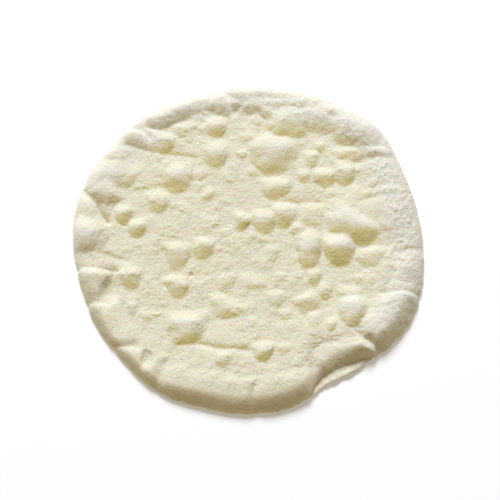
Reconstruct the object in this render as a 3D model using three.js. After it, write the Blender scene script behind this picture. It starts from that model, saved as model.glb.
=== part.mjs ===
// A par-baked pizza crust, bare and ready for its toppings: one round of pale dough, about 300 mm
// across, stretched by hand. Inside the rim the dough is thin, and gas has lifted it into blisters.
// The rim was turned over in uneven lobes, which swelled in the oven and left folds where they meet.
//
// Millimetres, +Z up. The crust lies on its flat underside, and the origin is the middle of that
// face. +Y points to the far side of the crust and -Y to the near one. Bearings are anticlockwise
// from +X, seen from above.

import * as THREE from "three";

const fullTurn = 2 * Math.PI;
const goldenAngle = 2.4;

// How far the edge reaches from the middle, every 15 degrees.
const edgeReaches = [
  152.5, 154, 159, 169, 169, 166.5, 166, 162, 164, 160.5, 158, 155.5,
  150, 146, 145.5, 145.5, 149.5, 148.5, 149.5, 148, 140.5, 145, 153, 153.5,
];

// The rim between its lobes, every 45 degrees: how far in from the edge the dough begins to rise
// towards it, how far in its crest is, and its height.
const riseStarts = [50, 44, 34, 30, 40, 60, 145, 70];
const rimCrests = [18, 18, 11, 10, 11, 8, 14, 14];
const rimHeights = [11, 10.5, 9, 9, 11, 9.5, 12, 12];

const bulgeHeight = 2.5; // where the edge reaches furthest out
const undercut = 2.5; // how far the edge draws in again below the bulge
const doughThickness = 7.5; // inside the rim

// A stretch of the near rim where the lobe has sunk and drawn back from the thin lip under it. The lip
// rises a little inwards. From the edge to "near" the rim moves in full, and beyond "far" not at all.
const bareLip = { bearing: 304, span: 13, depth: 7.5, sink: 4, rise: 1.4, near: 17, far: 44 };

// Long low waves of the whole sheet, and shorter lumps all over it.
const swell = { length: 48, height: 0.8 };
const lumps = { length: 17, height: 0.4 };

// How far, and over what length, the dough's unevenness bends the outline of a blister.
const blisterBend = { length: 23, shift: 1.4 };

// The form of a blister and of a lobe, in its half sizes: how far its near side runs back from its
// foot to its crest, how fully that side is rounded, how far its back and its two ends fade out, how
// far the foot draws back towards the ends, and how softly it bends out.
const rise = { nearRun: 1.25, fullness: 1.9, endReach: 1.3, footCurve: 0.8, footBend: 0.08 };
const blisterBack = 1.15;
const lobeBack = 1.2;

// The blisters that stand out: x, y, half length, half width, turn in degrees, height.
const blisters = [
  [23, 91, 21, 19, 0, 6], [-28, 91, 11, 12, 0, 4], [-28, 119, 9, 10, 0, 4], [-58, 117, 11, 8, 0, 2],
  [-62, 67, 13, 14, 0, 5], [-78, 43, 10, 10, 0, 3], [-107, 31, 7, 9, 0, 4], [-95, 18, 8, 9, 0, 4],
  [-127, 6, 6, 10, 0, 2], [-60, -9, 10, 12, 0, 4], [-59, -38, 9, 10, 0, 3.5],
  [-38, -2, 9, 10, 0, 3.5], [-5, 24, 8, 9, -25, 3.5], [15, 24, 10, 11, 0, 4], [32, 30, 10, 11, 0, 4],
  [43, 17, 8, 6, -35, 2], [58, 29, 10, 12, 0, 2], [53, -5, 10, 18, 0, 6], [80, -3, 14, 15, 10, 7],
  [21, -6, 7, 8, 0, 2], [107, -10, 12, 9, 10, 2.5], [57, -29, 5.5, 8, 0, 2.5], [66, -42, 6, 8, 0, 3],
  [88, -46, 12, 9, 0, 3], [100, -34, 8, 7, 0, 1.5], [89, -61, 12, 15, 0, 8], [57, -68, 6, 8, 0, 2.5],
  [71, -74, 5, 6, 0, 2], [52, -53, 12, 9, 22, 3.5], [24, -49, 8, 8, 0, 2.5], [32, -63, 5, 5, 0, 1.5],
  [3, -33, 12, 8, 0, 1.5], [-19, -34, 7, 9, -20, 2], [-20, -56, 14, 10, -30, 3],
  [-51, -77, 16, 14, 0, 6.2], [14, -99, 8, 9, 0, 4], [31, -95, 6, 5, 0, 1.5], [-20, -105, 7, 8, 0, 2],
  [-99, -30, 9, 10, 0, 4.5], [-96, -58, 5, 6, 0, 2], [65, 98, 5, 6, 0, 1.5], [57, 87, 6, 8, 0, 2.5],
  [50, 70, 6, 8, 0, 2.5], [25, 57, 13, 10, 0, 4], [-34, 51, 5, 6, 0, 1.5], [86, 70, 9, 14, 0, 5],
  [69, 68, 11, 9, 0, 3.5], [92, 49, 6, 8, 0, 2], [79, 50, 8, 6, 0, 1.5], [-72, 81, 4, 5, 0, 1.5],
  [-5, 92, 5, 5, 0, 1.5], [2, 109, 8, 6, 0, 1.5], [91, 20, 24, 16, -32, 7.5],
  [80, 23, 12, 12, -5, 4.5], [-110, 70, 12, 13, -20, 3], [-124, 53, 13, 12, -62, 5],
  [29, 116, 9, 9, -40, 3.5],
];

// Hollows sunk between the lobes: the same form turned over, so its height is below 0.
const hollows = [
  [-115, -37, 8, 15, 168, -5], [-83, -103, 6, 8, 180, -2.5], [103, -88, 6, 7, 180, -2.5],
];

// The lobes of the rim, each rounded over a line: from x, y, to x, y, half width, height.
const lobes = [
  [96, 37, 118, 25, 24, 3], [106, 48, 132, 50, 9, 2.5], [104, 71, 126, 67, 17, 1.2],
  [84, 91, 98, 91, 8, 2], [110, 93, 122, 92, 7, 2], [92, 117, 104, 113, 18, 5.5],
  [78, 134, 90, 131, 9, 4], [60, 126, 72, 124, 12, 1.8], [33, 123, 41, 123, 16, 5],
  [19, 134, 20, 133, 7, 3], [2, 141, 46, 143, 8, 2], [-8, 152, 46, 153, 7, 1.5],
  [-32, 144, -27, 145, 8, 2.5], [-22, 140, -17, 140, 9, 3], [-82, 124, -58, 136, 9, 3.8],
  [-62, 135, -42, 144, 8, 2], [-103, 110, -74, 102, 9, 3.8], [-119, 91, -113, 91, 8, 1.5],
  [-127, 67, -119, 66, 14, 4], [-142, 41, -139, 40, 10, 1.5], [-148, 9, -139, 8, 15, 6],
  [-140, -32, -133, -33, 14, 4], [-122, -62, -105, -88, 11, 1.8], [-95, -99, -77, -118, 9, 1.8],
  [-58, -124, -5, -136, 12, 2], [12, -135, 50, -128, 12, 2], [70, -113, 99, -98, 11, 3.5],
  [111, -79, 133, -51, 14, 4.5], [128, -25, 142, -23, 16, 1.5],
];

// The folds between lobes, each a groove from its inner end to its outer one: x, y, x, y, depth.
const foldWidth = 6.5;
const folds = [
  [-67, -109, -76, -131, 1.8], [5, -129, 7, -153, 3], [57, -115, 64, -139, 3],
  [94, -83, 110, -98, 3.5], [116, -44, 148, -45, 3.5], [130, -4, 150, 0, 1.6],
  [100, 43, 142, 52, 1.2], [88, 80, 130, 87, 1.3], [-11, 137, -18, 159, 4], [-121, 27, -140, 55, 4.5],
  [-112, -24, -148, -21, 3], [-118, -55, -136, -54, 2.5], [-92, -94, -110, -93, 2.5],
  [-86, 110, -99, 121, 3.5], [130, -16, 118, -47, 1.5],
];

// How finely the solid is faceted: rings of the thin dough, and of each stretch of the rim.
const slopeWidth = 40; // from the edge in to where the rim's own rings begin
const innerRings = 32;
const slopeRings = 6;
const shoulderRings = 5;
const undercutRings = 2;

// The value at a bearing, on a smooth closed curve through evenly spaced values.
function around(values, bearing) {
  const count = values.length;
  const place = (bearing / fullTurn) * count;
  const step = Math.floor(place);
  const t = place - step;
  const [a, b, c, d] = [-1, 0, 1, 2].map((k) => values[(step + k + count) % count]);
  return b + 0.5 * t * (c - a + t * (2 * a - 5 * b + 4 * c - d + t * (3 * (b - c) + d - a)));
}

// Crossing waves of about the given length, from -1 to 1.
function waves(x, y, length) {
  const crossing = 5;
  let sum = 0;
  for (let k = 0; k < crossing; k += 1) {
    const heading = k * goldenAngle;
    const along = x * Math.cos(heading) + y * Math.sin(heading);
    sum += Math.sin((fullTurn * along) / (length * (1 + 0.15 * k)) + k * k);
  }
  return sum / crossing;
}

// A rise of 1: round and steepening down to a foot at -1 on the near side, with a long fade all round
// it. The place is along and across it, in its half sizes.
function shell(along, across, backRun) {
  const ends = Math.max(0, 1 - Math.abs(along / rise.endReach) ** 2.3) ** 1.5;
  const above = across + 1 - rise.footCurve * Math.abs(along) ** 2.5;
  const bent = (above + Math.hypot(above, rise.footBend)) / 2;
  const near = 1 - (1 - Math.min(1, bent / rise.nearRun)) ** rise.fullness;
  const beyond = THREE.MathUtils.clamp((across + 1 - rise.nearRun) / backRun, 0, 1);
  return ends * near * (1 - beyond ** 2) ** 2;
}

// The height of a blister at a point.
function blisterHeight([middleX, middleY, halfLength, halfWidth, turn, height], x, y) {
  const angle = THREE.MathUtils.degToRad(turn);
  const along = (x - middleX) * Math.cos(angle) + (y - middleY) * Math.sin(angle);
  const across = (y - middleY) * Math.cos(angle) - (x - middleX) * Math.sin(angle);
  return height * shell(along / halfLength, across / halfWidth, blisterBack);
}

// How far a point is, along x and y, from a line between two others.
function offsetFrom(fromX, fromY, toX, toY, x, y) {
  const line = new THREE.Line3(new THREE.Vector3(fromX, fromY), new THREE.Vector3(toX, toY));
  const point = new THREE.Vector3(x, y);
  return point.clone().sub(line.closestPointToPoint(point, true, new THREE.Vector3()));
}

// The height of a lobe of the rim at a point.
function lobeHeight([fromX, fromY, toX, toY, halfWidth, height], x, y) {
  const offset = offsetFrom(fromX, fromY, toX, toY, x, y);
  return height * shell(offset.x / halfWidth, offset.y / halfWidth, lobeBack);
}

// The depth of all folds at a point: each is deepest along its line, with rounded shoulders.
function foldDepth(x, y) {
  return folds.reduce((sum, [fromX, fromY, toX, toY, depth]) => {
    const distance = offsetFrom(fromX, fromY, toX, toY, x, y).length();
    return sum + depth * Math.exp(-((distance / foldWidth) ** 2));
  }, 0);
}

// How far the top of the dough stands above its plain shape at a point.
function relief(x, y) {
  const bentX = x + blisterBend.shift * waves(x, y, blisterBend.length);
  const bentY = y + blisterBend.shift * waves(y, x, blisterBend.length);
  const rises = [
    ...blisters.map((one) => blisterHeight(one, bentX, bentY)),
    ...lobes.map((one) => lobeHeight(one, bentX, bentY)),
  ];
  const risen = rises.reduce((sum, one) => sum + one ** 4, 0) ** 0.25;
  const sunk = hollows.reduce((sum, one) => sum + blisterHeight(one, bentX, bentY), 0);
  const uneven = swell.height * waves(x, y, swell.length) + lumps.height * waves(x, y, lumps.length);
  return risen + sunk + uneven - foldDepth(x, y);
}

// How far the rim is drawn back at a bearing, so far in from the edge: 1 in the middle of the bare lip.
function besideLip(bearing, inset) {
  const along = (THREE.MathUtils.radToDeg(bearing) - bareLip.bearing) / bareLip.span;
  const onRim = 1 - THREE.MathUtils.smoothstep(inset, bareLip.near, bareLip.far);
  return Math.max(0, 1 - along ** 2) * onRim;
}

// The plain height of the top at a bearing, from the thin middle to the rim's crest.
function plainTop(bearing, inset) {
  const start = around(riseStarts, bearing);
  const up = THREE.MathUtils.clamp((start - inset) / (start - around(rimCrests, bearing)), 0, 1);
  const climb = around(rimHeights, bearing) - doughThickness;
  return doughThickness + climb * (1 - Math.cos(Math.PI * up)) / 2;
}

// A point of the surface at a bearing, so far in from the edge. The relief counts in full on top, and
// less and less down the side, so that the underside stays flat on the floor.
function surfacePoint(bearing, inset, z, share) {
  const reach = around(edgeReaches, bearing) - inset;
  const x = reach * Math.cos(bearing);
  const y = reach * Math.sin(bearing);
  const byLip = besideLip(bearing, inset);
  const aboveLip = THREE.MathUtils.smoothstep(z, bulgeHeight, bulgeHeight + bareLip.rise);
  const drawn = reach - bareLip.depth * byLip * aboveLip - (1 - share) * 0.5 * foldDepth(x, y);
  const height = z + share * (relief(x, y) - bareLip.sink * byLip);
  return new THREE.Vector3(drawn * Math.cos(bearing), drawn * Math.sin(bearing), height);
}

// The rim at a bearing, from its inner slope, over the crest, round the bulge and in to the floor.
function rimProfile(bearing) {
  const height = around(rimHeights, bearing);
  const crest = around(rimCrests, bearing);
  const points = [];
  for (let k = 1; k <= slopeRings; k += 1) {
    const inset = slopeWidth - ((slopeWidth - crest) * k) / slopeRings;
    points.push(surfacePoint(bearing, inset, plainTop(bearing, inset), 1));
  }
  for (let k = 1; k <= shoulderRings; k += 1) {
    const angle = (Math.PI / 2) * (1 - k / shoulderRings);
    const z = bulgeHeight + (height - bulgeHeight) * Math.sin(angle) ** 1.5;
    points.push(surfacePoint(bearing, crest * (1 - Math.cos(angle)), z, z / height));
  }
  for (let k = 1; k <= undercutRings; k += 1) {
    const angle = (Math.PI / 2) * (k / undercutRings);
    const z = bulgeHeight * (1 - Math.sin(angle));
    points.push(surfacePoint(bearing, undercut * (1 - Math.cos(angle)), z, z / height));
  }
  return points;
}

// The rings of points of the surface, from the middle of the top to the middle of the underside.
function surfaceRings() {
  const rings = [[new THREE.Vector3(0, 0, doughThickness + relief(0, 0))]];
  for (let ring = 1; ring <= innerRings; ring += 1) {
    const count = 6 * ring;
    rings.push(Array.from({ length: count }, (_, k) => {
      const bearing = (fullTurn * k) / count;
      const reach = around(edgeReaches, bearing);
      const inset = reach - ((reach - slopeWidth) * ring) / innerRings;
      return surfacePoint(bearing, inset, plainTop(bearing, inset), 1);
    }));
  }
  const rimCount = 6 * innerRings;
  const profiles = Array.from({ length: rimCount }, (_, k) => rimProfile((fullTurn * k) / rimCount));
  for (let step = 0; step < slopeRings + shoulderRings + undercutRings; step += 1) {
    rings.push(profiles.map((profile) => profile[step]));
  }
  rings.push([new THREE.Vector3(0, 0, 0)]);
  return rings;
}

// The triangles between two neighbouring rings, which may differ in their number of points.
function stitch(inner, outer, triangles) {
  let i = 0;
  let o = 0;
  while ((i < inner.count && inner.count > 1) || (o < outer.count && outer.count > 1)) {
    const innerHere = inner.start + (i % inner.count);
    const outerHere = outer.start + (o % outer.count);
    const outerNext = (o + 0.5) / outer.count <= (i + 0.5) / inner.count;
    if (inner.count === 1 || (outer.count > 1 && o < outer.count && outerNext)) {
      o += 1;
      triangles.push(innerHere, outerHere, outer.start + (o % outer.count));
    } else {
      i += 1;
      triangles.push(innerHere, outerHere, inner.start + (i % inner.count));
    }
  }
}

// A closed surface over rings that start and end with a single point.
function surfaceOver(rings) {
  const triangles = [];
  let start = 0;
  for (let k = 0; k + 1 < rings.length; k += 1) {
    const inner = { start, count: rings[k].length };
    start += inner.count;
    stitch(inner, { start, count: rings[k + 1].length }, triangles);
  }
  const surface = new THREE.BufferGeometry().setFromPoints(rings.flat());
  surface.setIndex(triangles);
  return surface;
}

// The whole crust, with the origin under the middle of its length and width.
function crustGeometry() {
  const surface = surfaceOver(surfaceRings());
  surface.computeBoundingBox();
  const middle = surface.boundingBox.getCenter(new THREE.Vector3());
  surface.translate(-middle.x, -middle.y, 0);
  surface.computeVertexNormals();
  return surface;
}

const bakedDough = new THREE.MeshStandardMaterial({ color: 0xe6dec2, roughness: 0.8, metalness: 0 });
const crust = new THREE.Mesh(crustGeometry(), bakedDough);
crust.name = "crust";

const pizzaCrust = new THREE.Group();
pizzaCrust.add(crust);

export default pizzaCrust;
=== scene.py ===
import math

import bpy
import numpy as np
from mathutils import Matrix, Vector, noise


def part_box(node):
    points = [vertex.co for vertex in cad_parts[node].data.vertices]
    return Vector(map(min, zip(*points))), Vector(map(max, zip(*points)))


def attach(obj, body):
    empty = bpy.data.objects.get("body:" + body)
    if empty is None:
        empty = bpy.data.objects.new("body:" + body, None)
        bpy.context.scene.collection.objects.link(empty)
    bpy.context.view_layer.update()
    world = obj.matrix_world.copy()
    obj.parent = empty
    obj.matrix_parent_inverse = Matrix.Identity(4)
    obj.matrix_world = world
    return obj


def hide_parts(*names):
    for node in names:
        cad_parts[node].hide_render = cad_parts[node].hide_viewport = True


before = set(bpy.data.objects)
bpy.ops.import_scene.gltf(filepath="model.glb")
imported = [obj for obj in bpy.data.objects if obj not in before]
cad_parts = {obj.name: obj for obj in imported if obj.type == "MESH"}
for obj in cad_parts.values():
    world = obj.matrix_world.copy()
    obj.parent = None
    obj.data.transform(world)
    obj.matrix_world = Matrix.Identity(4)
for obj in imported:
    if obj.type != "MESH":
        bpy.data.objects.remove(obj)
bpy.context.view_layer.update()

# The round of dough. A ball of plain white dough is stretched by hand to about 300 mm across, so its
# edge wanders, and the edge is turned over into a low rim round a thin middle. All sizes here are in
# millimetres, with bearings anticlockwise from +X, and the mesh is scaled to metres when it is made.

full_turn = 2 * math.pi
golden_angle = 2.4

# How far the edge reaches from the middle, every 15 degrees.
edge_reaches = [
    152.5, 154, 159, 169, 169, 166.5, 166, 162, 164, 160.5, 158, 155.5,
    150, 146, 145.5, 145.5, 149.5, 148.5, 149.5, 148, 140.5, 145, 153, 153.5,
]

# The rim between its lobes, every 45 degrees: how far in the dough begins to rise towards it, how far
# in its crest is, and its height.
rise_starts = [50, 44, 34, 30, 40, 60, 145, 70]
rim_crests = [18, 18, 11, 10, 11, 8, 14, 14]
rim_heights = [11, 10.5, 9, 9, 11, 9.5, 12, 12]

dough_thickness = 7.5  # inside the rim
bulge_height = 2.5  # where the edge reaches furthest out
undercut = 2.5  # how far the edge draws in again below the bulge


def around(values, bearing):
    """The values at bearings, on a smooth closed curve through evenly spaced values."""
    count = len(values)
    place = bearing / full_turn * count
    step = np.floor(place).astype(int)
    t = place - step
    a, b, c, d = (np.take(values, (step + k) % count) for k in (-1, 0, 1, 2))
    return b + 0.5 * t * (c - a + t * (2 * a - 5 * b + 4 * c - d + t * (3 * (b - c) + d - a)))


def waves(x, y, length):
    """Crossing waves of about the given length, from -1 to 1."""
    crossing = 5
    total = 0
    for k in range(crossing):
        along = x * math.cos(k * golden_angle) + y * math.sin(k * golden_angle)
        total = total + np.sin(full_turn * along / (length * (1 + 0.15 * k)) + k * k)
    return total / crossing


def smooth_step(value, low, high):
    """0 up to low and 1 from high, with a smooth climb between them."""
    t = np.clip((value - low) / (high - low), 0, 1)
    return t * t * (3 - 2 * t)


# The blisters. Gas in the dough lifts the thin middle into domes of many sizes. Each is steep towards
# the near side of the crust and fades out towards the far side, as the dough was drawn that way.

# The ones that stand out, one by one: x, y, half length, half width, turn in degrees, height.
blisters = [
    (23, 91, 21, 19, 0, 6), (-28, 91, 11, 12, 0, 4), (-28, 119, 9, 10, 0, 4), (-58, 117, 11, 8, 0, 2),
    (-62, 67, 13, 14, 0, 5), (-78, 43, 10, 10, 0, 3), (-107, 31, 7, 9, 0, 4), (-95, 18, 8, 9, 0, 4),
    (-127, 6, 6, 10, 0, 2), (-60, -9, 10, 12, 0, 4), (-59, -38, 9, 10, 0, 3.5), (-38, -2, 9, 10, 0, 3.5),
    (-5, 24, 8, 9, -25, 3.5), (15, 24, 10, 11, 0, 4), (32, 30, 10, 11, 0, 4), (43, 17, 8, 6, -35, 2),
    (58, 29, 10, 12, 0, 2), (53, -5, 10, 18, 0, 6), (80, -3, 14, 15, 10, 7), (21, -6, 7, 8, 0, 2),
    (107, -10, 12, 9, 10, 2.5), (57, -29, 5.5, 8, 0, 2.5), (66, -42, 6, 8, 0, 3), (88, -46, 12, 9, 0, 3),
    (100, -34, 8, 7, 0, 1.5), (89, -61, 12, 15, 0, 8), (57, -68, 6, 8, 0, 2.5), (71, -74, 5, 6, 0, 2),
    (52, -53, 12, 9, 22, 3.5), (24, -49, 8, 8, 0, 2.5), (32, -63, 5, 5, 0, 1.5), (3, -33, 12, 8, 0, 1.5),
    (-19, -34, 7, 9, -20, 2), (-20, -56, 14, 10, -30, 3), (-51, -77, 16, 14, 0, 6.6), (14, -99, 8, 9, 0, 4),
    (31, -95, 6, 5, 0, 1.5), (-20, -105, 7, 8, 0, 2), (-99, -30, 9, 10, 0, 4.5), (-96, -58, 5, 6, 0, 2),
    (65, 98, 5, 6, 0, 1.5), (57, 87, 6, 8, 0, 2.5), (50, 70, 6, 8, 0, 2.5), (25, 57, 13, 10, 0, 4),
    (-34, 51, 5, 6, 0, 1.5), (86, 70, 9, 14, 0, 5), (69, 68, 11, 9, 0, 3.5), (92, 49, 6, 8, 0, 2),
    (79, 50, 8, 6, 0, 1.5), (-72, 81, 4, 5, 0, 1.5), (-5, 92, 5, 5, 0, 1.5), (2, 109, 8, 6, 0, 2),
    (91, 20, 24, 16, -32, 7.5), (80, 23, 12, 12, -5, 4.5), (-110, 70, 12, 13, -20, 3),
    (-124, 53, 13, 12, -62, 5), (29, 116, 9, 9, -40, 3.5),
]

# Hollows sunk in the dough: the same form turned over, so its height is below 0.
hollows = [
    (-115, -37, 8, 15, 168, -5), (-83, -103, 4.5, 8, 180, -3.5), (-48, -25, 2.5, 3, 180, -2),
    (103, -88, 6, 7, 180, -2.5),
]

# The form of a blister, and of a lobe of the rim, in its half sizes: how far its near side runs back
# from its foot to its crest, how fully that side is rounded, how far its back and its two ends fade
# out, how far the foot draws back towards the ends, and how softly it bends out.
near_run = 1.25
fullness = 1.9
blister_back = 1.15
lobe_back = 1.2
end_reach = 1.3
foot_curve = 0.8
foot_bend = 0.08


def shell(along, across, back_run):
    """A rise of 1: round and steepening to a foot at -1 on the near side, with a long fade round it."""
    ends = np.maximum(0, 1 - np.abs(along / end_reach) ** 2.3) ** 1.5
    above = across + 1 - foot_curve * np.abs(along) ** 2.5
    up = np.clip((above + np.sqrt(above ** 2 + foot_bend ** 2)) / 2 / near_run, 0, 1)
    beyond = np.clip((across - near_run + 1) / back_run, 0, 1)
    return ends * (1 - (1 - up) ** fullness) * (1 - beyond ** 2) ** 2


def face(along, across):
    """1 on the middle of the near face, where the skin is drawn tight, fading out round it."""
    return np.exp(-2.5 * (along ** 2 + (across + 0.5) ** 2))


def within(blister, x, y):
    """A point's place in a blister, along and across it, in its half sizes."""
    middle_x, middle_y, half_length, half_width, turn, _ = blister
    cosine, sine = math.cos(math.radians(turn)), math.sin(math.radians(turn))
    along = ((x - middle_x) * cosine + (y - middle_y) * sine) / half_length
    across = ((y - middle_y) * cosine - (x - middle_x) * sine) / half_width
    return along, across


def blister_height(blister, x, y):
    """The height of a blister at a point."""
    return blister[5] * shell(*within(blister, x, y), blister_back)


# The lesser blisters between them, strewn by a seeded draw. They cover the middle of the crust
# evenly, and most are about the size of a pea.

lesser_count = 560
lesser_reach = 130


def lesser_blisters():
    """The lesser blisters, in the same terms as the others."""
    draw = np.random.default_rng(12)
    distance = lesser_reach * np.sqrt(draw.uniform(0, 1, lesser_count))
    bearing = draw.uniform(0, full_turn, lesser_count)
    size = 2.6 + 4.2 * draw.uniform(0, 1, lesser_count) ** 2.5
    flat = draw.uniform(0.7, 1.1, lesser_count)
    turn = draw.normal(0, 25, lesser_count)
    height = size * draw.uniform(0.07, 0.19, lesser_count)
    return zip(distance * np.cos(bearing), distance * np.sin(bearing), size, size * flat, turn, height)


# The rim's lobes and folds. Turned over by hand, the edge swells in lobes of dough, and where one lobe
# meets the next or laps over it there is a fold. The thin dough has low steps of the same kind, where
# the skin of a blister has slipped over.

# The lobes, each rounded over a line: from x, y, to x, y, half width, height.
lobes = [
    (96, 37, 118, 25, 24, 3), (106, 48, 132, 50, 9, 2.5), (104, 71, 126, 67, 17, 1.2),
    (84, 91, 98, 91, 8, 2), (110, 93, 122, 92, 7, 2), (92, 117, 104, 113, 18, 5.5),
    (78, 134, 90, 131, 9, 4), (60, 126, 72, 124, 12, 2.4), (33, 123, 41, 123, 16, 5),
    (19, 134, 20, 133, 7, 3), (2, 141, 46, 143, 8, 2), (-8, 152, 46, 153, 7, 1.5),
    (-32, 144, -27, 145, 8, 2.5), (-22, 140, -17, 140, 9, 3), (-82, 124, -58, 136, 9, 3.8),
    (-62, 135, -42, 144, 8, 2), (-103, 110, -74, 102, 9, 3.8), (-119, 91, -113, 91, 8, 1.5),
    (-127, 67, -119, 66, 14, 4), (-142, 41, -139, 40, 10, 1.5), (-148, 9, -139, 8, 15, 6),
    (-140, -32, -133, -33, 14, 4), (-122, -62, -105, -88, 11, 1.8), (-95, -99, -77, -118, 9, 1.8),
    (-58, -124, -5, -136, 12, 2), (12, -135, 50, -128, 12, 2), (70, -113, 99, -98, 11, 3.5),
    (111, -79, 133, -51, 14, 4.5), (128, -25, 142, -23, 16, 1.5),
]

# The folds, each a groove from its inner end to its outer one: from x, y, to x, y, depth, and the
# side that laps over, 1 on the left of the line and -1 on its right.
folds = [
    (-67, -109, -76, -131, 1.8, 1), (5, -129, 7, -153, 3, -1), (57, -115, 64, -139, 3, 1),
    (94, -83, 110, -98, 3.5, -1), (116, -44, 148, -45, 3.5, -1), (130, -4, 150, 0, 1.6, 1),
    (100, 43, 142, 52, 1.2, -1), (88, 80, 130, 87, 1.3, -1), (-11, 137, -18, 159, 4, -1),
    (-121, 27, -140, 55, 6, -1), (-112, -24, -148, -21, 3, 1), (-118, -55, -136, -54, 2.5, 1),
    (-92, -94, -110, -93, 2.5, 1), (-86, 110, -99, 121, 3.5, -1), (130, -16, 118, -47, 1.5, 1),
]

# The steps in the thin dough, in the same terms: the far side stands higher.
slips = [
    (34, 46, 62, 45, 1.8, 1), (-38, -89, 0, -95, 2.2, 1), (-66, 93, -48, 91, 1.4, 1),
    (-96, 58, -78, 60, 1.2, 1), (-122, -5, -104, -10, 1.4, 1),
]

# The form of a fold: the width of its groove and of the step up to the side that laps over, how far
# back that side stands proud, and how soon the fold ends past its line.
groove_width = 4.5
lap_width = 1.8
proud_width = 7
fold_end = 4

# A stretch of the near rim where the lobe has sunk and drawn back from the thin lip under it: its
# bearing and half its span in degrees, how far back and down the lobe went, the height above the
# bulge at which it is all the way back, how much the lip is raised, and the height of its bumps.
lip_bearing = 304
lip_span = 13
lip_depth = 7.5
lip_sink = 4.5
lip_step = 1.4
lip_rise = 1
lip_bumps = 2.4

# How far the edge frays in and out near the floor, every 45 degrees.
edge_raggedness = [0.6, 0, 0, 0.4, 0.6, 0.6, 1.6, 1.8]


def line_offset(x, y, from_x, from_y, to_x, to_y):
    """How far points are from a line, along x and y, and how far across it, counted to its left."""
    length = math.hypot(to_x - from_x, to_y - from_y)
    along_x, along_y = (to_x - from_x) / length, (to_y - from_y) / length
    along = np.clip((x - from_x) * along_x + (y - from_y) * along_y, 0, length)
    across = (y - from_y) * along_x - (x - from_x) * along_y
    return x - from_x - along * along_x, y - from_y - along * along_y, across


def beside(lobe, x, y):
    """A point's offset from a lobe's line, in its half width."""
    away_x, away_y, _ = line_offset(x, y, *lobe[:4])
    return away_x / lobe[4], away_y / lobe[4]


def fold_relief(fold, x, y):
    """A groove beside the lobe that laps over, whose own edge is rounded and a little proud."""
    from_x, from_y, to_x, to_y, depth, lapping = fold
    away_x, away_y, across = line_offset(x, y, from_x, from_y, to_x, to_y)
    past = np.sqrt(np.maximum(away_x ** 2 + away_y ** 2 - across ** 2, 0))
    over = across * lapping
    fade = np.exp(-(past / fold_end) ** 2)
    lapped = 0.5 + 0.5 * np.tanh(over / lap_width)
    proud = 0.3 * depth * np.exp(-np.abs(over) / proud_width) * lapped
    groove = 0.9 * depth * np.exp(-(over / groove_width) ** 2) * (1 - 0.6 * lapped)
    return fade * (proud - groove)


# The skin of the dough. Over all of it run soft puffs and short ridges a few millimetres long, which
# the fat lobes and the faces of the blisters have stretched nearly flat. On the rim it is drawn into
# fine wrinkles, and some of the flour it was dusted with is left on the far and the right side.

# Every 45 degrees along the rim: how far the skin of its outer side is drawn smooth, from 0 to 1, the
# height of its wrinkles, and how much flour is left on it, from 0 to 1.
rim_tautness = [0, 0, 0.2, 0.5, 0.3, 0.7, 0.9, 0.7]
rim_wrinkles = [1.8, 1.7, 1.1, 0.5, 0.6, 0.3, 0.3, 0.7]
rim_flour = [0.6, 0.6, 0.55, 0.35, 0.15, 0, 0, 0.3]

# How far in from the edge the rim's outer side fades out, and the rim itself: where that begins and
# where it ends.
outer_side_end = (12, 22)
rim_end = (17, 44)


def grained(x, y, length, seed, octaves=2):
    """Even noise of about the given length, from about -1 to 1."""
    places = zip(x / length, y / length)
    return np.array([noise.fractal(Vector((a, b, seed)), 1.0, 2.0, octaves) for a, b in places])


def puffed(x, y, length, seed):
    """Soft puffs of about the given length and up to about 1 high, with creases between them."""
    return np.sqrt(0.01 + grained(x, y, length, seed) ** 2)


def dough_relief(x, y, taut, wrinkled):
    """The top's height above its plain shape, how stretched and how raised it is, and its folds."""
    bent_x = x + 1.4 * waves(x, y, 23) + 1.2 * grained(x, y, 13, 3.1)
    bent_y = y + 1.4 * waves(y, x, 23) + 1.2 * grained(x, y, 13, 7.7)
    places = [(blister[5], *within(blister, bent_x, bent_y), blister_back) for blister in blisters]
    places += [(lobe[5], *beside(lobe, bent_x, bent_y), lobe_back) for lobe in lobes]
    risen = sum((height * shell(*place)) ** 4 for height, *place in places) ** 0.25
    tight = sum(smooth_step(height, 1, 4) * face(along, across) for height, along, across, _ in places)
    stretched = np.minimum(tight + taut, 1)
    fine_x = bent_x + 1.3 * grained(x, y, 4.5, 5.2)
    fine_y = bent_y + 1.3 * grained(x, y, 4.5, 9.4)
    lesser = sum(blister_height(blister, fine_x, fine_y) ** 3 for blister in lesser_blisters()) ** (1 / 3)
    sunk = sum(blister_height(hollow, bent_x, bent_y) for hollow in hollows)
    folded = sum(fold_relief(fold, bent_x, bent_y) for fold in folds)
    slipped = sum(fold_relief(slip, bent_x, bent_y) for slip in slips)
    uneven = 0.8 * waves(x, y, 48) + 0.4 * waves(x, y, 17)
    puffs = 0.35 * puffed(fine_x, fine_y, 8, 1.3) + 0.4 * puffed(fine_x, fine_y, 3.6, 4.9)
    drawn = wrinkled * puffed(1.5 * fine_x + 0.5 * fine_y, 0.8 * fine_y - 0.5 * fine_x, 6.5, 6.1)
    rough = 1 - 0.9 * stretched
    height = risen + sunk + folded + slipped + uneven + drawn + rough * (lesser + puffs)
    return height, stretched, smooth_step(risen, 2, 5.5), folded


# The mesh of the crust: rings from the middle of the top, over the rim's crest, round its bulge and in
# to the floor, closed underneath by a last ring that is drawn together at the middle.

slope_width = 40  # from the edge in to where the rim's own rings begin
inner_rings = 120
slope_rings = 28
shoulder_rings = 18
undercut_rings = 6


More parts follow.
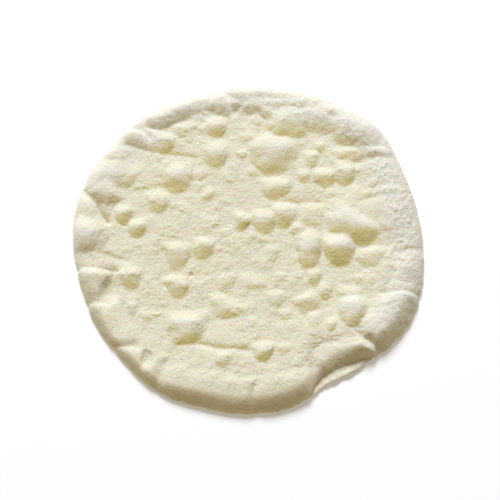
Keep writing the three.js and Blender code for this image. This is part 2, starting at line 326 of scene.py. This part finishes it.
def plain_top(bearing, inset):
    """The plain height of the top, from the thin middle to the rim's crest."""
    start, crest = around(rise_starts, bearing), around(rim_crests, bearing)
    up = np.clip((start - inset) / (start - crest), 0, 1)
    climb = around(rim_heights, bearing) - dough_thickness
    return dough_thickness + climb * (1 - np.cos(math.pi * up)) / 2


def plain_rings():
    """Bearing, distance in from the edge, plain height and share of the relief, ring by ring."""
    for ring in range(1, inner_rings + 1):
        bearing = full_turn * np.arange(6 * ring) / (6 * ring)
        reach = around(edge_reaches, bearing)
        inset = reach - (reach - slope_width) * ring / inner_rings
        level = np.ones_like(bearing)
        yield bearing, inset, plain_top(bearing, inset), level
    height = around(rim_heights, bearing)
    crest = around(rim_crests, bearing)
    for k in range(1, slope_rings + 1):
        inset = slope_width - (slope_width - crest) * k / slope_rings
        yield bearing, inset, plain_top(bearing, inset), level
    for k in range(1, shoulder_rings + 1):
        angle = math.pi / 2 * (1 - k / shoulder_rings)
        z = bulge_height + (height - bulge_height) * math.sin(angle) ** 1.5
        yield bearing, crest * (1 - math.cos(angle)), z, z / height
    for k in range(1, undercut_rings + 1):
        angle = math.pi / 2 * k / undercut_rings
        z = bulge_height * (1 - math.sin(angle)) * level
        yield bearing, undercut * (1 - math.cos(angle)) * level, z, z / height


def surface_points():
    """The points of the crust, from the middle of the top on, and what its finish goes by."""
    bearing, inset, plain, share = (np.concatenate(part) for part in zip(*plain_rings()))
    bearing, inset = np.append(0, bearing), np.append(around(edge_reaches, np.array([0.0])), inset)
    plain, share = np.append(dough_thickness, plain), np.append(1, share)
    reach = around(edge_reaches, bearing) - inset
    x, y = reach * np.cos(bearing), reach * np.sin(bearing)
    on_rim = 1 - smooth_step(inset, *rim_end)
    taut = around(rim_tautness, bearing) * (1 - smooth_step(inset, *outer_side_end))
    relief, stretched, raised, folded = dough_relief(x, y, taut, on_rim * around(rim_wrinkles, bearing))
    frayed = around(edge_raggedness, bearing) * grained(x, y, 8, 2.2, 3) * on_rim
    beside_lip = np.maximum(0, 1 - ((np.degrees(bearing) - lip_bearing) / lip_span) ** 2)
    above_lip = smooth_step(plain, bulge_height, bulge_height + lip_step)
    reach = reach - lip_depth * beside_lip * above_lip * on_rim + (1 - share) * (0.5 * folded + frayed)
    x, y = reach * np.cos(bearing), reach * np.sin(bearing)
    on_lip = beside_lip * (1 - above_lip) * smooth_step(plain, 0, bulge_height)
    height = plain + share * (relief - lip_sink * beside_lip * on_rim)
    height = height + on_lip * (lip_rise + lip_bumps * puffed(x, y, 5.5, 3.4))
    flour = np.maximum(0, on_rim * around(rim_flour, bearing))
    skin = {"stretched": stretched, "raised": raised, "on_rim": on_rim, "floury": flour}
    return np.vstack([np.column_stack([x, y, height]), [(0, 0, 0)]]), skin


def surface_faces():
    """Triangles between neighbouring rings, six sectors in each."""
    faces = []
    starts = [0, 1]
    for ring in range(1, inner_rings + 1):
        inner, outer, few, many = starts[-2], starts[-1], max(1, 6 * (ring - 1)), 6 * ring
        for sector in range(6):
            for k in range(ring):
                here = outer + sector * ring + k
                after = outer + (sector * ring + k + 1) % many
                under = inner + (sector * (ring - 1) + k) % few
                faces.append((under, here, after))
                if k < ring - 1:
                    faces.append((under, after, inner + (sector * (ring - 1) + k + 1) % few))
        starts.append(outer + many)
    many = 6 * inner_rings
    first = starts[-2]
    for ring in range(slope_rings + shoulder_rings + undercut_rings):
        for k in range(many):
            here, after = first + k, first + (k + 1) % many
            faces.append((here, here + many, after + many))
            faces.append((here, after + many, after))
        first += many
    faces.extend((first + k, first + many, first + (k + 1) % many) for k in range(many))
    return faces


points, skin = surface_points()
crust_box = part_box("crust")
points /= 1000
middle = (points.min(axis=0) + points.max(axis=0)) / 2
points[:, 0] += (crust_box[0][0] + crust_box[1][0]) / 2 - middle[0]
points[:, 1] += (crust_box[0][1] + crust_box[1][1]) / 2 - middle[1]

crust_mesh = bpy.data.meshes.new("baked_crust")
crust_mesh.from_pydata(points.tolist(), [], surface_faces())
crust_mesh.shade_smooth()
normals = np.zeros(3 * len(points), np.float32)
crust_mesh.vertices.foreach_get("normal", normals)
# How far each point's face is turned to the near side; the finish paints shade by it.
skin["turned_near"] = -normals[1:-3:3]
for name, values in skin.items():
    values = np.append(values, 0).astype(np.float32)
    crust_mesh.attributes.new(name, "FLOAT", "POINT").data.foreach_set("value", values)
crust = bpy.data.objects.new("baked_crust", crust_mesh)
bpy.context.collection.objects.link(crust)
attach(crust, "root")
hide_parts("crust")


# The finish of the crust: pale par-baked dough, dry and matt. It is cream where it lies flat and whiter
# where flour is left. A painted highlight makes the risen tops whiter, and painted shade makes the faces
# turned to the near side straw yellow to light brown, browner on the rim. Its pores and its crinkle,
# finer than the mesh, are a bump.

class Wire:
    """A socket of a material's nodes. Arithmetic with it adds Math nodes."""

    def __init__(self, tree, socket=None):
        self.tree = tree
        self.socket = socket

    def node(self, kind, settings=None, values=None, output=0):
        made = self.tree.nodes.new(kind)
        for name, value in (settings or {}).items():
            setattr(made, name, value)
        for name, value in (values or {}).items():
            if isinstance(value, Wire):
                self.tree.links.new(value.socket, made.inputs[name])
            else:
                made.inputs[name].default_value = value
        return Wire(self.tree, made.outputs[output] if made.outputs else None)

    def maths(self, operation, first, second):
        return self.node("ShaderNodeMath", {"operation": operation}, {0: first, 1: second})

    def __add__(self, other):
        return self.maths("ADD", self, other)

    def __mul__(self, other):
        return self.maths("MULTIPLY", self, other)

    def __rsub__(self, other):
        return self.maths("SUBTRACT", other, self)

    __radd__ = __add__
    __rmul__ = __mul__


def dough_finish():
    material = bpy.data.materials.new("baked_dough")
    material.use_nodes = True
    material.node_tree.nodes.clear()
    start = Wire(material.node_tree)

    def known(name):
        return start.node("ShaderNodeAttribute", {"attribute_name": name}, output="Fac")

    def blend(share, first, second):
        values = {"Factor": share, 6: first, 7: second}
        return start.node("ShaderNodeMix", {"data_type": "RGBA"}, values, 2)

    place = start.node("ShaderNodeTexCoord", output="Object")
    on_rim, floury = known("on_rim"), known("floury")
    patches = start.node(
        "ShaderNodeTexNoise", None, {"Vector": place, "Scale": 90, "Detail": 4, "Roughness": 0.6}, "Fac",
    )
    pores = start.node(
        "ShaderNodeTexVoronoi", {"feature": "SMOOTH_F1"},
        {"Vector": place, "Scale": 520, "Smoothness": 0.6}, "Distance",
    )
    crinkle = start.node(
        "ShaderNodeTexNoise", None, {"Vector": place, "Scale": 420, "Detail": 3, "Roughness": 0.6}, "Fac",
    )
    # Painted shade: the faces turned to the near side, away from the lamp, get a straw yellow base colour.
    painted_shade = start.node(
        "ShaderNodeMapRange", {"interpolation_type": "SMOOTHSTEP"},
        {"Value": known("turned_near"), "From Max": 0.45 + 0.3 * on_rim},
    )
    pale = blend(patches, (0.785, 0.73, 0.51, 1), (0.84, 0.82, 0.70, 1))
    # Painted highlight: the risen tops of the blisters and lobes are made whiter.
    pale = blend(known("raised"), pale, (0.815, 0.79, 0.665, 1))
    pale = blend(floury, pale, (0.805, 0.785, 0.72, 1))
    # The colour of the painted shade, browner on the rim and paler where flour is left.
    painted_shade_colour = blend(on_rim, (0.80, 0.70, 0.335, 1), (0.73, 0.625, 0.375, 1))
    painted_shade_colour = blend(floury, painted_shade_colour, (0.70, 0.63, 0.45, 1))
    grain = (crinkle + 0.4 * pores) * (1 - 0.45 * known("stretched"))
    bump = start.node(
        "ShaderNodeBump", None, {"Height": grain, "Strength": 0.7, "Distance": 0.0014}, "Normal",
    )
    shader = start.node("ShaderNodeBsdfPrincipled", {"subsurface_method": "RANDOM_WALK"}, {
        "Base Color": blend(painted_shade, pale, painted_shade_colour), "Normal": bump,
        "Roughness": 0.75, "Specular IOR Level": 0.2,
        "Subsurface Weight": 0.6, "Subsurface Radius": (1.0, 0.6, 0.2), "Subsurface Scale": 0.003,
    }, "BSDF")
    start.node("ShaderNodeOutputMaterial", None, {"Surface": shader})
    return material


crust_mesh.materials.append(dough_finish())

# The studio: a plain pale matt floor, which the crust lies on.

floor_reach = 20
floor_mesh = bpy.data.meshes.new("studio_floor")
floor_corners = [(x * floor_reach, y * floor_reach, 0) for x, y in ((-1, -1), (1, -1), (1, 1), (-1, 1))]
floor_mesh.from_pydata(floor_corners, [], [(0, 1, 2, 3)])
floor = bpy.data.objects.new("studio_floor", floor_mesh)
bpy.context.collection.objects.link(floor)
floor_finish = bpy.data.materials.new("studio_floor")
floor_finish.use_nodes = True
floor_paint = floor_finish.node_tree.nodes["Principled BSDF"].inputs
floor_paint["Base Color"].default_value = (0.9, 0.9, 0.9, 1)
floor_paint["Roughness"].default_value = 0.9
floor_paint["Specular IOR Level"].default_value = 0.0
floor_paint["Emission Color"].default_value = (1.0, 1.0, 1.0, 1)
floor_paint["Emission Strength"].default_value = 0.18
floor_mesh.materials.append(floor_finish)

# The light: one large soft lamp behind the crust and a little to its left, and a warm pale room
# round it. The lamp is far enough off to light the floor evenly.

world = bpy.data.worlds.new("studio")
bpy.context.scene.world = world
world.use_nodes = True
world.node_tree.nodes["Background"].inputs["Color"].default_value = (1.0, 0.88, 0.64, 1)
world.node_tree.nodes["Background"].inputs["Strength"].default_value = 0.265

lamp = bpy.data.lights.new("window", "AREA")
lamp.shape = "DISK"
lamp.size = 2.8
lamp.energy = 405
lamp.color = (0.96, 1.0, 1.10)
window = bpy.data.objects.new("window", lamp)
window.location = (-0.85, 4.35, 4.4)
window.rotation_euler = (-window.location).to_track_quat("-Z", "Y").to_euler()
bpy.context.collection.objects.link(window)

# The camera looks down on the crust from the near side, as the photograph does.

image_width = 500
elevation = math.radians(64)
distance = 1.30
pixels_per_metre = 349 / 0.300  # where the camera aims
focal_pixels = pixels_per_metre * distance
aim = Vector((0.0022, -0.0112, 0.010))
lens = bpy.data.cameras.new("photograph")
lens.sensor_width = 36
lens.lens = 36 * focal_pixels / image_width
camera = bpy.data.objects.new("photograph", lens)
camera.location = aim + distance * Vector((0, -math.cos(elevation), math.sin(elevation)))
camera.rotation_euler = (aim - camera.location).to_track_quat("-Z", "Y").to_euler()
bpy.context.collection.objects.link(camera)
bpy.context.scene.camera = camera
bpy.context.scene.view_settings.view_transform = "Standard"
